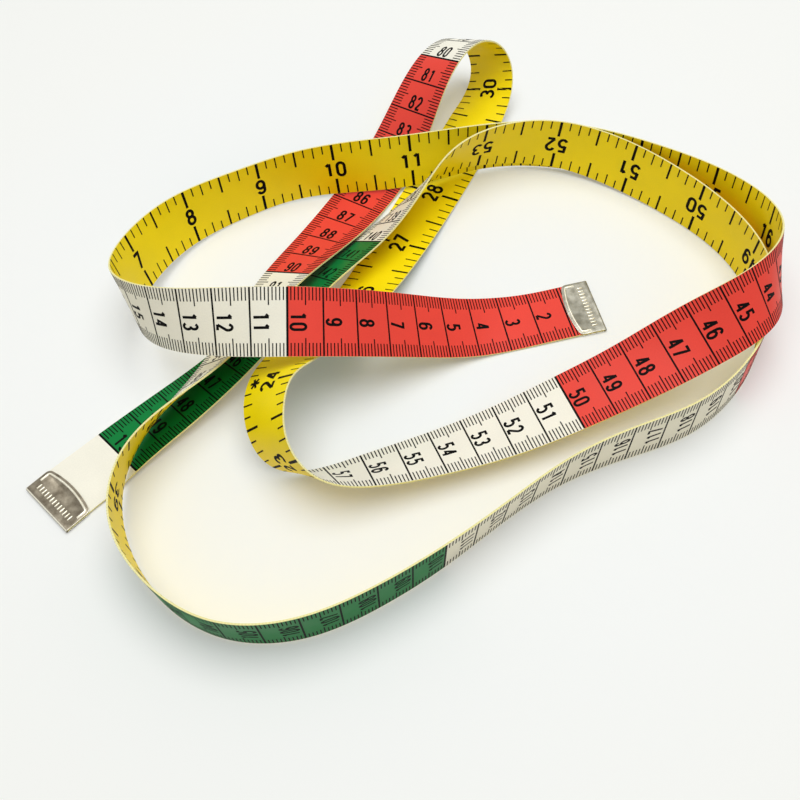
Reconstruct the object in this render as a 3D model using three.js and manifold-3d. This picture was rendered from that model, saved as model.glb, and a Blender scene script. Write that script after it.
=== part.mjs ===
// A soft tape measure of 150 cm, lying loosely in loops on a table. Millimetres, +Z up.
// It is one limp laminate strip, an ivory film and a yellow film on a woven glass-fibre core, with a folded plate crimped over each end.
import * as THREE from "three";
import { mergeVertices } from "three/addons/utils/BufferGeometryUtils.js";
import Module from "manifold-3d";

const wasm = await Module();
wasm.setup();

// The tape
const TAPE_LENGTH = 1524; // 60 in, from the outer edge of one plate to the outer edge of the other
const TAPE_WIDTH = 19;
const FILM = 0.12; // each printed film
const CORE = 0.26; // the woven core between them
const TAPE_THICK = CORE + 2 * FILM;
const TAPE_STEP = 4; // one bend of the mesh to each of these

// The folded end plates
const PLATE_LEAF = 0.3; // sheet thickness
const PLATE_GAP = 0.1; // between the sheet and the tape on each side
const PLATE_OVERHANG = 0.1; // past each edge of the tape
const PLATE_WIDTH = TAPE_WIDTH + 2 * PLATE_OVERHANG;
const PLATE_SIDE = 8.3; // along the plate's straight sides
const PLATE_MIDDLE = 9.7; // along its middle, where the inner edge bulges
const PLATE_THICK = TAPE_THICK + 2 * (PLATE_GAP + PLATE_LEAF);
const PLATE_CLEAR = 0.3; // of straight tape past the plate
const STRAIGHT_END = PLATE_MIDDLE + PLATE_CLEAR; // each end of the tape lies straight, held by its plate
const RIM_INSET = 0.75; // from the plate's edge to the embossed rim
const RIM_WIDTH = 0.5;
const RIM_START = 4.6; // the rim runs round the part of the plate past this
const RIM_HEIGHT = 0.2;
const CURVE_SEGMENTS = 16;
const FOLD_SEGMENTS = 6;

// How the gap of the tape to itself is measured
const GAP_STEP = 2;
const GAP_APART = 40; // marks nearer than this are the same stretch

// How the tape lies: the mark in millimetres from zero, then x, y and z of its two edges there. The first edge is the one
// on top in the opening stretch. The route is followed from the zero plate: up over its own hump, round the left loop,
// along the back, round the right, down to the left turn, up through the flat middle to the raised arch at the top, back
// down to the standing loop at the front, round the right again, and down under itself to the flat tail.
const ROUTE = [
  [10, 47.8, 1.8, 0.7, 50.8, -17, 0.7],
  [20, 38, 0, 0.9, 41, -18.5, 0.6],
  [40, 19, -3.5, 6, 21.5, -22, 1.5],
  [60, 2.5, -8.5, 16.5, 3.5, -26, 9.5],
  [80, -13.5, -13.5, 27.5, -14, -30.5, 19],
  [100, -31.5, -17, 35.5, -33, -32.5, 24.7],
  [120, -51.5, -17.5, 38, -52.5, -29.5, 23.5],
  [140, -70.5, -12.5, 35, -70, -21, 18],
  [160, -83.5, 0.5, 28.5, -79.5, -5.5, 11],
  [180, -81.5, 19, 23, -77.5, 13.5, 5],
  [200, -69.5, 34.5, 20, -67.5, 30, 2],
  [220, -52, 44, 19, -51.5, 41.5, 0.5],
  [240, -33, 50, 19.5, -32.5, 48, 1.2],
  [260, -13.5, 52.5, 20, -12.5, 48.5, 2],
  [280, 6.5, 53.3, 20.5, 7.5, 49.1, 2.2],
  [300, 26.9, 55.1, 20.5, 26.8, 54.2, 1.6],
  [320, 46.6, 55.7, 19.8, 46.5, 55.2, 0.9],
  [340, 66.2, 50.6, 19.8, 65.8, 49.3, 0.9],
  [360, 83.6, 40.3, 20.6, 82.5, 37.3, 2.2],
  [380, 99, 27.5, 22, 97.5, 23, 4],
  [400, 108.5, 10.5, 26, 106.5, 5, 8],
  [420, 106.5, -8, 32, 108.5, -14.5, 14.5],
  [440, 93, -22.5, 34.5, 100.5, -32, 20.8],
  [460, 76, -26.5, 26, 84, -41.5, 18],
  [480, 59, -30, 15, 65, -48, 13],
  [500, 41, -35, 8, 46.5, -53.5, 9],
  [520, 22.5, -41, 3.5, 27, -59, 7.5],
  [540, 3.5, -46.5, 1.2, 8, -63.5, 8.5],
  [560, -16, -52, 0.8, -11.5, -67, 11.5],
  [580, -36.4, -56, 3, -28.5, -64.8, 18.6],
  [590, -43.5, -52.8, 7.6, -33.3, -57.5, 23.5],
  [600, -46.6, -44.3, 12.8, -33.5, -48, 26.6],
  [610, -45.7, -34, 14.3, -31, -38.9, 25.6],
  [620, -41.5, -25, 13, -25.7, -31.3, 21],
  [640, -31, -9.5, 7.5, -15.3, -17.3, 14.2],
  [660, -20.5, 6.5, 1.5, -4.7, -1.7, 7.5],
  [680, -10.5, 23.5, 0.5, 5.5, 14.5, 4],
  [700, -1, 41, 0.5, 15.5, 31.5, 1.5],
  [720, 9, 58, 0.5, 25.5, 49, 0.6],
  [740, 18.8, 75.8, 0.5, 35.2, 66.2, 1.3],
  [750, 23.8, 84.5, 0.5, 39.8, 75, 3.2],
  [760, 28.8, 93, 1, 43.8, 83.5, 7.2],
  [770, 31.8, 101, 5.5, 44.5, 90, 14.3],
  [780, 28.5, 104, 14, 39.8, 91.5, 22.5],
  [790, 20.7, 100.5, 19, 32, 87.5, 26.7],
  [800, 13.2, 94, 18.8, 25, 80.5, 25.2],
  [820, 1.5, 80, 10.5, 15.5, 67.5, 13.3],
  [840, -9, 65.5, 2.5, 6.5, 54.5, 2.6],
  [860, -20.5, 49, 0.5, -5, 38, 1.2],
  [880, -32, 32.5, 0.8, -16.5, 22, 5.3],
  [900, -43, 16, 2.5, -28, 7, 10.5],
  [920, -53, -1.5, 3, -39.5, -9, 14],
  [940, -62.5, -19, 3, -50.5, -25.5, 16.7],
  [960, -73.6, -35.3, 3.4, -64.1, -39.3, 19.4],
  [980, -81.5, -53.5, 3.2, -76.5, -54.9, 21.5],
  [1000, -80, -72.7, 1.7, -79, -74.1, 20.6],
  [1020, -69.2, -90.1, 0.7, -68.7, -91.6, 19.6],
  [1040, -52.2, -101.1, 0.4, -51.7, -102.6, 19.3],
  [1060, -32, -102.4, 0.4, -31.5, -103.4, 19.4],
  [1080, -13, -96, 0.5, -12.5, -97, 19.5],
  [1100, 4.5, -86.5, 0.5, 5, -88, 19.4],
  [1120, 21, -75.5, 0.5, 22, -77.5, 19.4],
  [1140, 38.5, -65.5, 0.5, 39, -67, 19.4],
  [1160, 57.5, -59, 0.5, 57.5, -59.5, 19.5],
  [1180, 76.5, -53, 0.5, 76, -53, 19.5],
  [1200, 92.5, -41.5, 0.4, 92, -41, 19.4],
  [1220, 103.5, -25, 0.3, 103, -24.5, 19.3],
  [1240, 106, -5, 0.3, 106.5, -5, 19.3],
  [1260, 100, 13.5, 0.3, 100.5, 14, 19.3],
  [1280, 87.5, 29.4, 0.4, 89, 30.6, 19.3],
  [1300, 72.2, 42.7, 1, 74.4, 44.4, 19.9],
  [1320, 54.5, 52.1, 2.6, 56.4, 52.6, 21.4],
  [1340, 34.8, 54.1, 4.1, 37, 52.1, 22.9],
  [1360, 16, 49.8, 4.9, 19.1, 42.9, 22.3],
  [1380, 0.1, 39.3, 2.1, 7.1, 29.1, 17.1],
  [1400, -15, 27.5, 0.4, -5.4, 16.1, 12.3],
  [1420, -30.3, 15.4, 0.5, -20.4, 2.9, 10.8],
  [1440, -45, 1.5, 0.4, -34.3, -11.7, 8.9],
  [1450, -52.4, -5.5, 0.5, -41.3, -19, 8],
  [1460, -59.7, -12.6, 0.5, -48.3, -26.3, 7.1],
  [1480, -75.2, -25.3, 0.5, -63.4, -39.5, 4.6],
  [1500, -91.3, -38.1, 0.5, -78.8, -51.9, 2.2],
  [1508, -97.8, -43.4, 0.6, -85, -57.4, 0.9],
  [1514, -102.9, -47.6, 0.7, -89.9, -61.6, 0.75],
];
const MARKS = ROUTE.map((row) => row[0]);
const FIRST = MARKS[0];
const LAST = MARKS[MARKS.length - 1];
const BENDS_FROM = Math.max(FIRST, STRAIGHT_END);
const BENDS_TO = Math.min(LAST, TAPE_LENGTH - STRAIGHT_END);

// A natural cubic curve through the values at the marks. It returns the value and the slope at any mark between.
function curveThrough(values) {
  const n = MARKS.length;
  const gap = MARKS.slice(1).map((mark, i) => mark - MARKS[i]);
  const rise = gap.map((g, i) => (values[i + 1] - values[i]) / g);
  const bend = new Array(n).fill(0);
  const share = new Array(n).fill(0);
  for (let i = 1; i < n - 1; i++) {
    const pivot = 2 * (gap[i - 1] + gap[i]) - gap[i - 1] * share[i - 1];
    share[i] = gap[i] / pivot;
    bend[i] = (6 * (rise[i] - rise[i - 1]) - gap[i - 1] * bend[i - 1]) / pivot;
  }
  for (let i = n - 2; i > 0; i--) bend[i] -= share[i] * bend[i + 1];
  return (mark) => {
    let i = 0;
    while (i < n - 2 && mark > MARKS[i + 1]) i++;
    const t = mark - MARKS[i];
    const turn = (bend[i + 1] - bend[i]) / gap[i];
    const slope = rise[i] - (gap[i] * (2 * bend[i] + bend[i + 1])) / 6;
    return {
      value: values[i] + t * (slope + t * (bend[i] / 2 + (t * turn) / 6)),
      slope: slope + t * (bend[i] + (t * turn) / 2),
    };
  };
}
const COLUMNS = [1, 2, 3, 4, 5, 6].map((column) =>
  curveThrough(ROUTE.map((row) => row[column])),
);

// The tape's own frame at a mark: its middle, the way it runs, the way across it to the first edge, and the way out of
// its centimetre face. Each end runs straight.
function frameAt(mark) {
  const inside = Math.min(Math.max(mark, BENDS_FROM), BENDS_TO);
  const at = COLUMNS.map((column) => column(inside));
  const edges = [0, 3].map((k) => new THREE.Vector3(at[k].value, at[k + 1].value, at[k + 2].value));
  const slopes = [0, 3].map((k) => new THREE.Vector3(at[k].slope, at[k + 1].slope, at[k + 2].slope));
  const across = edges[0].clone().sub(edges[1]).normalize();
  const along = slopes[0].add(slopes[1]);
  along.addScaledVector(across, -along.dot(across)).normalize();
  const out = across.clone().cross(along);
  const middle = edges[0].add(edges[1]).multiplyScalar(1 / 2);
  middle.addScaledVector(along, mark - inside);
  return { middle, along, across, out };
}

// A flat strip of the tape's width, laid along the route as a closed layer between two heights out of the middle.
function layer(from, to, below, above) {
  const steps = Math.round((to - from) / TAPE_STEP);
  const flat = new THREE.PlaneGeometry(to - from, TAPE_WIDTH, steps, 1);
  const place = flat.attributes.position;
  const count = place.count;
  const points = [];
  for (const height of [above, below]) {
    for (let i = 0; i < count; i++) {
      const { middle, across, out } = frameAt(place.getX(i) + (from + to) / 2);
      middle.addScaledVector(across, -place.getY(i)).addScaledVector(out, height);
      points.push(middle.x, middle.y, middle.z);
    }
  }
  const faces = [];
  const top = flat.index.array;
  for (let i = 0; i < top.length; i += 3) {
    faces.push(top[i], top[i + 1], top[i + 2]);
    faces.push(top[i] + count, top[i + 2] + count, top[i + 1] + count);
  }
  const row = steps + 1;
  const rim = [];
  for (let i = 0; i < steps; i++) rim.push([i + 1, i], [row + i, row + i + 1]);
  rim.push([0, row], [row + steps, steps]);
  for (const [a, b] of rim) faces.push(b, a, a + count, b, a + count, b + count);
  const geometry = new THREE.BufferGeometry();
  geometry.setAttribute("position", new THREE.Float32BufferAttribute(points, 3));
  geometry.setIndex(faces);
  return geometry;
}

function solidOf(geometry) {
  const g = geometry.clone();
  g.deleteAttribute("normal");
  g.deleteAttribute("uv");
  const merged = mergeVertices(g);
  return new wasm.Manifold(
    new wasm.Mesh({
      numProp: 3,
      vertProperties: merged.attributes.position.array,
      triVerts: new Uint32Array(merged.index.array),
    }),
  );
}

function geometryOf(solid) {
  const mesh = solid.getMesh();
  const geometry = new THREE.BufferGeometry();
  geometry.setAttribute("position", new THREE.BufferAttribute(mesh.vertProperties, mesh.numProp));
  geometry.setIndex(new THREE.BufferAttribute(mesh.triVerts, 1));
  geometry.computeVertexNormals();
  return geometry;
}

// The plate's outline from its outer edge inwards along x, drawn in by an inset all round.
function plateOutline(kind, inset) {
  const half = PLATE_WIDTH / 2 - inset;
  const side = PLATE_SIDE - inset;
  const outline = new kind();
  outline.moveTo(inset, -half);
  outline.lineTo(side, -half);
  outline.quadraticCurveTo(2 * (PLATE_MIDDLE - inset) - side, 0, side, half);
  outline.lineTo(inset, half);
  outline.closePath();
  return outline;
}

// Its side view: two leaves joined by a round fold at the outer edge, with the slot for the tape between them.
function plateSection() {
  const outer = PLATE_THICK / 2;
  const slot = outer - PLATE_LEAF;
  const section = new THREE.Shape();
  section.moveTo(PLATE_MIDDLE, outer);
  section.lineTo(outer, outer);
  section.absarc(outer, 0, outer, Math.PI / 2, (3 * Math.PI) / 2, false);
  section.lineTo(PLATE_MIDDLE, -outer);
  section.lineTo(PLATE_MIDDLE, -slot);
  section.lineTo(outer, -slot);
  section.absarc(outer, 0, slot, (3 * Math.PI) / 2, Math.PI / 2, true);
  section.lineTo(PLATE_MIDDLE, slot);
  section.closePath();
  return section;
}

function plateGeometry() {
  const folded = new THREE.ExtrudeGeometry(plateSection(), {
    depth: PLATE_WIDTH,
    bevelEnabled: false,
    curveSegments: FOLD_SEGMENTS,
  });
  folded.rotateX(Math.PI / 2);
  folded.translate(0, PLATE_WIDTH / 2, 0);
  const stamp = new THREE.ExtrudeGeometry(plateOutline(THREE.Shape, 0), {
    depth: 2 * PLATE_THICK,
    bevelEnabled: false,
    curveSegments: CURVE_SEGMENTS,
  });
  stamp.translate(0, 0, -PLATE_THICK);
  const ring = plateOutline(THREE.Shape, RIM_INSET);
  ring.holes.push(plateOutline(THREE.Path, RIM_INSET + RIM_WIDTH));
  const rim = new THREE.ExtrudeGeometry(ring, {
    depth: PLATE_LEAF / 2 + RIM_HEIGHT,
    bevelEnabled: false,
    curveSegments: CURVE_SEGMENTS,
  });
  rim.translate(0, 0, (PLATE_THICK - PLATE_LEAF) / 2);
  const horseshoe = solidOf(rim).trimByPlane([1, 0, 0], RIM_START);
  return geometryOf(solidOf(folded).intersect(solidOf(stamp)).add(horseshoe));
}

// A plate over the tape's end, with its outer edge at the mark and its embossed leaf on the centimetre face.
function plate(name, mark, inwards) {
  const { middle, along, out } = frameAt(mark);
  const x = along.multiplyScalar(inwards);
  const y = out.clone().cross(x);
  const mesh = new THREE.Mesh(plateGeometry(), METAL);
  mesh.name = name;
  mesh.position.copy(middle);
  mesh.quaternion.setFromRotationMatrix(new THREE.Matrix4().makeBasis(x, y, out));
  return mesh;
}

const IVORY = new THREE.MeshStandardMaterial({ color: 0xe9e4d2, roughness: 0.45, metalness: 0 });
const FIBRE = new THREE.MeshStandardMaterial({ color: 0xe6dfb4, roughness: 0.8, metalness: 0 });
const YELLOW = new THREE.MeshStandardMaterial({ color: 0xe8c92e, roughness: 0.45, metalness: 0 });
const METAL = new THREE.MeshStandardMaterial({ color: 0x8d877d, roughness: 0.4, metalness: 1 });

function tapeLayer(name, below, above, material) {
  const mesh = new THREE.Mesh(layer(PLATE_THICK / 2, TAPE_LENGTH - PLATE_THICK / 2, below, above), material);
  mesh.name = name;
  return mesh;
}

// The least gap of the tape to itself, measured from points on its edges and middle to its faces further along.
function leastGap() {
  const stations = [];
  for (let mark = 0; mark <= TAPE_LENGTH; mark += GAP_STEP) {
    const { middle, across } = frameAt(mark);
    const first = middle.clone().addScaledVector(across, TAPE_WIDTH / 2);
    const second = middle.clone().addScaledVector(across, -TAPE_WIDTH / 2);
    stations.push([first, middle, second]);
  }
  const triangle = new THREE.Triangle();
  const near = new THREE.Vector3();
  const apart = GAP_APART / GAP_STEP;
  let least = Infinity;
  for (let j = 0; j + 1 < stations.length; j++) {
    const [a, , b] = stations[j];
    const [c, , d] = stations[j + 1];
    for (const corners of [[a, b, c], [b, d, c]]) {
      triangle.set(...corners);
      for (let i = 0; i < stations.length; i++) {
        if (Math.abs(i - j) < apart || stations[i][1].distanceTo(stations[j][1]) > 2 * TAPE_WIDTH) continue;
        for (const point of stations[i]) {
          triangle.closestPointToPoint(point, near);
          least = Math.min(least, near.distanceTo(point));
        }
      }
    }
  }
  return least - TAPE_THICK;
}
console.log("least gap of the tape to itself", leastGap().toFixed(2), "mm");

const tape = new THREE.Group();
tape.add(
  tapeLayer("tape_front_film", CORE / 2, CORE / 2 + FILM, IVORY),
  tapeLayer("glass_fibre_core", -CORE / 2, CORE / 2, FIBRE),
  tapeLayer("tape_back_film", -CORE / 2 - FILM, -CORE / 2, YELLOW),
);
const group = new THREE.Group();
group.add(tape, plate("start_clip", 0, 1), plate("end_clip", TAPE_LENGTH, -1));

export default group;
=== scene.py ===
# %% [markdown]
# A cloth tape measure of 150 cm, lying loosely in loops on white paper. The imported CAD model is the
# fixed frame of this scene: it has the right sizes, the right place and plain faces. Here each of its
# five pieces gets the form, the print and the finish of the real thing. Everything is in metres.

# %% Load the frame
import math

import bmesh
import bpy
import numpy as np
from mathutils import Matrix, Vector


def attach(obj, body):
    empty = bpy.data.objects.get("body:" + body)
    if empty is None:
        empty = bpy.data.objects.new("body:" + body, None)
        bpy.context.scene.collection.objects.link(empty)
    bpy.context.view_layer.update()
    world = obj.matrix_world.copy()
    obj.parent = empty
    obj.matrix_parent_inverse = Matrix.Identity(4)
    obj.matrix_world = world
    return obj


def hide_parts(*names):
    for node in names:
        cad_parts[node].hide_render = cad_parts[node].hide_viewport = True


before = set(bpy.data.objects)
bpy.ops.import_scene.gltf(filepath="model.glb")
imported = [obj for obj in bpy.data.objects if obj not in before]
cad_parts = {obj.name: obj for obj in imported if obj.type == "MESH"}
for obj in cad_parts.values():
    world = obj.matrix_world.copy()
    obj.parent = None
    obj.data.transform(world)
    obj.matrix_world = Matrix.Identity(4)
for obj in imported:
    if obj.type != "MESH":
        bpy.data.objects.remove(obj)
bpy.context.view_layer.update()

MM = 0.001
print("pieces of the frame:", sorted(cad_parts))

# %% [markdown]
# Colours are written as sRGB values between 0 and 255, as they would be read off a swatch, and Blender
# wants them linear. The view transform is Standard, so that a colour comes out as it is written.

# %% Colours and the view
bpy.context.scene.view_settings.view_transform = "Standard"


def swatch(red, green, blue):
    """A linear colour with alpha from sRGB values of 0 to 255."""
    parts = [c / 255 for c in (red, green, blue)]
    linear = [c / 12.92 if c <= 0.04045 else ((c + 0.055) / 1.055) ** 2.4 for c in parts]
    return (*linear, 1.0)


# %% [markdown]
# The camera stands above the near side and looks down steeply, turned a little to one side, as someone
# holds a phone over a table. Its axes are built from the pitch and the roll, and become the columns of
# its matrix.

# %% The camera
PITCH = math.radians(58.8)
ROLL = math.radians(-4.47)
SENSOR = 36
PICTURE_WIDE = 800
FOCAL_IN_PICTURE = 918
CAMERA_PLACE = (-3.5 * MM, -173.5 * MM, 230.3 * MM)

ahead = Vector((0, math.cos(PITCH), -math.sin(PITCH)))
level_right = Vector((1, 0, 0))
level_up = Vector((0, math.sin(PITCH), math.cos(PITCH)))
right = level_right * math.cos(ROLL) + level_up * math.sin(ROLL)
up = level_up * math.cos(ROLL) - level_right * math.sin(ROLL)

camera_data = bpy.data.cameras.new("camera")
camera_data.sensor_width = SENSOR
camera_data.lens = FOCAL_IN_PICTURE / PICTURE_WIDE * SENSOR
camera_data.clip_start = 0.01
camera_data.clip_end = 20
camera = bpy.data.objects.new("camera", camera_data)
bpy.context.scene.collection.objects.link(camera)
turn = Matrix((right, up, -ahead)).transposed()
camera.matrix_world = Matrix.Translation(CAMERA_PLACE) @ turn.to_4x4()
bpy.context.scene.camera = camera
print("lens", round(camera_data.lens, 2), "mm")

# %% [markdown]
# How the tape lies is the same table as in the part's source: the mark in millimetres from zero, then
# x, y and z of the tape's two edges there. The first edge is the one on top in the opening stretch.

# %% The route
ROUTE = np.array([
    [10, 47.8, 1.8, 0.7, 50.8, -17, 0.7],
    [20, 38, 0, 0.9, 41, -18.5, 0.6],
    [40, 19, -3.5, 6, 21.5, -22, 1.5],
    [60, 2.5, -8.5, 16.5, 3.5, -26, 9.5],
    [80, -13.5, -13.5, 27.5, -14, -30.5, 19],
    [100, -31.5, -17, 35.5, -33, -32.5, 24.7],
    [120, -51.5, -17.5, 38, -52.5, -29.5, 23.5],
    [140, -70.5, -12.5, 35, -70, -21, 18],
    [160, -83.5, 0.5, 28.5, -79.5, -5.5, 11],
    [180, -81.5, 19, 23, -77.5, 13.5, 5],
    [200, -69.5, 34.5, 20, -67.5, 30, 2],
    [220, -52, 44, 19, -51.5, 41.5, 0.5],
    [240, -33, 50, 19.5, -32.5, 48, 1.2],
    [260, -13.5, 52.5, 20, -12.5, 48.5, 2],
    [280, 6.5, 53.3, 20.5, 7.5, 49.1, 2.2],
    [300, 26.9, 55.1, 20.5, 26.8, 54.2, 1.6],
    [320, 46.6, 55.7, 19.8, 46.5, 55.2, 0.9],
    [340, 66.2, 50.6, 19.8, 65.8, 49.3, 0.9],
    [360, 83.6, 40.3, 20.6, 82.5, 37.3, 2.2],
    [380, 99, 27.5, 22, 97.5, 23, 4],
    [400, 108.5, 10.5, 26, 106.5, 5, 8],
    [420, 106.5, -8, 32, 108.5, -14.5, 14.5],
    [440, 93, -22.5, 34.5, 100.5, -32, 20.8],
    [460, 76, -26.5, 26, 84, -41.5, 18],
    [480, 59, -30, 15, 65, -48, 13],
    [500, 41, -35, 8, 46.5, -53.5, 9],
    [520, 22.5, -41, 3.5, 27, -59, 7.5],
    [540, 3.5, -46.5, 1.2, 8, -63.5, 8.5],
    [560, -16, -52, 0.8, -11.5, -67, 11.5],
    [580, -36.4, -56, 3, -28.5, -64.8, 18.6],
    [590, -43.5, -52.8, 7.6, -33.3, -57.5, 23.5],
    [600, -46.6, -44.3, 12.8, -33.5, -48, 26.6],
    [610, -45.7, -34, 14.3, -31, -38.9, 25.6],
    [620, -41.5, -25, 13, -25.7, -31.3, 21],
    [640, -31, -9.5, 7.5, -15.3, -17.3, 14.2],
    [660, -20.5, 6.5, 1.5, -4.7, -1.7, 7.5],
    [680, -10.5, 23.5, 0.5, 5.5, 14.5, 4],
    [700, -1, 41, 0.5, 15.5, 31.5, 1.5],
    [720, 9, 58, 0.5, 25.5, 49, 0.6],
    [740, 18.8, 75.8, 0.5, 35.2, 66.2, 1.3],
    [750, 23.8, 84.5, 0.5, 39.8, 75, 3.2],
    [760, 28.8, 93, 1, 43.8, 83.5, 7.2],
    [770, 31.8, 101, 5.5, 44.5, 90, 14.3],
    [780, 28.5, 104, 14, 39.8, 91.5, 22.5],
    [790, 20.7, 100.5, 19, 32, 87.5, 26.7],
    [800, 13.2, 94, 18.8, 25, 80.5, 25.2],
    [820, 1.5, 80, 10.5, 15.5, 67.5, 13.3],
    [840, -9, 65.5, 2.5, 6.5, 54.5, 2.6],
    [860, -20.5, 49, 0.5, -5, 38, 1.2],
    [880, -32, 32.5, 0.8, -16.5, 22, 5.3],
    [900, -43, 16, 2.5, -28, 7, 10.5],
    [920, -53, -1.5, 3, -39.5, -9, 14],
    [940, -62.5, -19, 3, -50.5, -25.5, 16.7],
    [960, -73.6, -35.3, 3.4, -64.1, -39.3, 19.4],
    [980, -81.5, -53.5, 3.2, -76.5, -54.9, 21.5],
    [1000, -80, -72.7, 1.7, -79, -74.1, 20.6],
    [1020, -69.2, -90.1, 0.7, -68.7, -91.6, 19.6],
    [1040, -52.2, -101.1, 0.4, -51.7, -102.6, 19.3],
    [1060, -32, -102.4, 0.4, -31.5, -103.4, 19.4],
    [1080, -13, -96, 0.5, -12.5, -97, 19.5],
    [1100, 4.5, -86.5, 0.5, 5, -88, 19.4],
    [1120, 21, -75.5, 0.5, 22, -77.5, 19.4],
    [1140, 38.5, -65.5, 0.5, 39, -67, 19.4],
    [1160, 57.5, -59, 0.5, 57.5, -59.5, 19.5],
    [1180, 76.5, -53, 0.5, 76, -53, 19.5],
    [1200, 92.5, -41.5, 0.4, 92, -41, 19.4],
    [1220, 103.5, -25, 0.3, 103, -24.5, 19.3],
    [1240, 106, -5, 0.3, 106.5, -5, 19.3],
    [1260, 100, 13.5, 0.3, 100.5, 14, 19.3],
    [1280, 87.5, 29.4, 0.4, 89, 30.6, 19.3],
    [1300, 72.2, 42.7, 1, 74.4, 44.4, 19.9],
    [1320, 54.5, 52.1, 2.6, 56.4, 52.6, 21.4],
    [1340, 34.8, 54.1, 4.1, 37, 52.1, 22.9],
    [1360, 16, 49.8, 4.9, 19.1, 42.9, 22.3],
    [1380, 0.1, 39.3, 2.1, 7.1, 29.1, 17.1],
    [1400, -15, 27.5, 0.4, -5.4, 16.1, 12.3],
    [1420, -30.3, 15.4, 0.5, -20.4, 2.9, 10.8],
    [1440, -45, 1.5, 0.4, -34.3, -11.7, 8.9],
    [1450, -52.4, -5.5, 0.5, -41.3, -19, 8],
    [1460, -59.7, -12.6, 0.5, -48.3, -26.3, 7.1],
    [1480, -75.2, -25.3, 0.5, -63.4, -39.5, 4.6],
    [1500, -91.3, -38.1, 0.5, -78.8, -51.9, 2.2],
    [1508, -97.8, -43.4, 0.6, -85, -57.4, 0.9],
    [1514, -102.9, -47.6, 0.7, -89.9, -61.6, 0.75],
]) * MM
MARKS = ROUTE[:, 0]
TAPE_LENGTH = 1524 * MM
TAPE_WIDTH = 19 * MM
CORE = 0.26 * MM
FILM = 0.12 * MM
PLATE_THICK = 1.3 * MM
STRAIGHT_END = 10 * MM
print(len(ROUTE), "stations,", TAPE_LENGTH, "m of tape")

# %% [markdown]
# A limp strip has no corners, so a natural cubic curve runs through the stations of each edge. From the
# two edges comes the tape's own frame at any mark: its middle, the way it runs, the way across it and
# the way out of its front. With it, a thing modelled flat is laid on the tape point by point: x is the
# mark, y goes across, z is the height.

# %% The frame of the tape at a mark
def curve_bends(values):
    """The second slopes at the stations of the natural cubic curve through these values."""
    gap = np.diff(MARKS)
    rise = np.diff(values, axis=0) / gap[:, None]
    count = len(MARKS)
    pull = np.eye(count)
    for i in range(1, count - 1):
        pull[i, i - 1:i + 2] = gap[i - 1], 2 * (gap[i - 1] + gap[i]), gap[i]
    want = np.zeros_like(values)
    want[1:-1] = 6 * np.diff(rise, axis=0)
    return np.linalg.solve(pull, want)


BENDS = curve_bends(ROUTE[:, 1:])


def unit(vectors):
    return vectors / np.linalg.norm(vectors, axis=1, keepdims=True)


def tape_frame(marks):
    """Middle, along, across (towards the first edge) and out of the front, one row for each mark."""
    inside = np.clip(marks, STRAIGHT_END, TAPE_LENGTH - STRAIGHT_END)
    i = np.clip(np.searchsorted(MARKS, inside) - 1, 0, len(MARKS) - 2)
    gap = (MARKS[i + 1] - MARKS[i])[:, None]
    t = (inside - MARKS[i])[:, None]
    low, high = ROUTE[i, 1:], ROUTE[i + 1, 1:]
    bend = BENDS[i]
    turn = (BENDS[i + 1] - bend) / gap
    slope = (high - low) / gap - gap * (2 * bend + BENDS[i + 1]) / 6
    place = low + t * (slope + t * (bend / 2 + t * turn / 6))
    slope = slope + t * (bend + t * turn / 2)
    across = unit(place[:, :3] - place[:, 3:])
    along = slope[:, :3] + slope[:, 3:]
    along = unit(along - across * np.sum(along * across, axis=1, keepdims=True))
    middle = (place[:, :3] + place[:, 3:]) / 2 + along * (marks - inside)[:, None]
    return middle, along, across, np.cross(across, along)


def laid(points):
    """Flat points (mark, across towards the second edge, height) where the tape lies."""
    middle, along, across, out = tape_frame(points[:, 0])
    return middle - across * points[:, 1:2] + out * points[:, 2:3]


def points_of(obj):
    points = np.empty(len(obj.data.vertices) * 3)
    obj.data.vertices.foreach_get("co", points)
    return points.reshape(-1, 3)


def put_points(obj, points):
    obj.data.vertices.foreach_set("co", points.ravel())
    obj.data.update()


print("the front faces", np.round(tape_frame(np.array([0.03]))[3][0], 2), "at 3 cm")

# %% [markdown]
# Small helpers for working by hand: start from nothing selected, name what was added, apply a modifier,
# and smooth what is round while edges stay crisp.

# %% Helpers for modelling
def deselect():
    if bpy.context.object and bpy.context.object.mode != "OBJECT":
        bpy.ops.object.mode_set(mode="OBJECT")
    bpy.ops.object.select_all(action="DESELECT")


def take(obj):
    deselect()
    obj.select_set(True)
    bpy.context.view_layer.objects.active = obj
    return obj


def named(name):
    obj = bpy.context.active_object
    obj.name = name
    obj.data.name = name
    return obj


def add_modifier(obj, kind, **settings):
    take(obj)
    modifier = obj.modifiers.new(kind.title(), kind)
    for key, value in settings.items():
        setattr(modifier, key, value)
    bpy.ops.object.modifier_apply(modifier=modifier.name)
    return obj


def set_down(obj):
    """Moves the object's place, turn and size into its mesh."""
    take(obj)
    bpy.ops.object.transform_apply(location=True, rotation=True, scale=True)
    return obj


def smooth(obj, degrees=35):
    take(obj)
    bpy.ops.object.shade_smooth_by_angle(angle=math.radians(degrees))
    return obj


def count(obj):
    return sum(len(p.vertices) - 2 for p in obj.data.polygons)


# %% [markdown]
# The strip is three layers: an ivory film printed with centimetres, a woven glass-fibre core, and a
# yellow film printed with inches. Each starts as a flat grid, which Solidify thickens and Bevel gives a
# fine worn edge. Its UV map holds the mark and the place across in metres, so that every pattern
# follows the tape however it lies. The films have a second material for their cut sides, where the
# printed colour ends and the pale body shows.

# %% The three layers
STEPS_ALONG = 1520
STEPS_ACROSS = 6
WORN_EDGE = 0.025 * MM
FILM_INSET = 0.02 * MM


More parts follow.
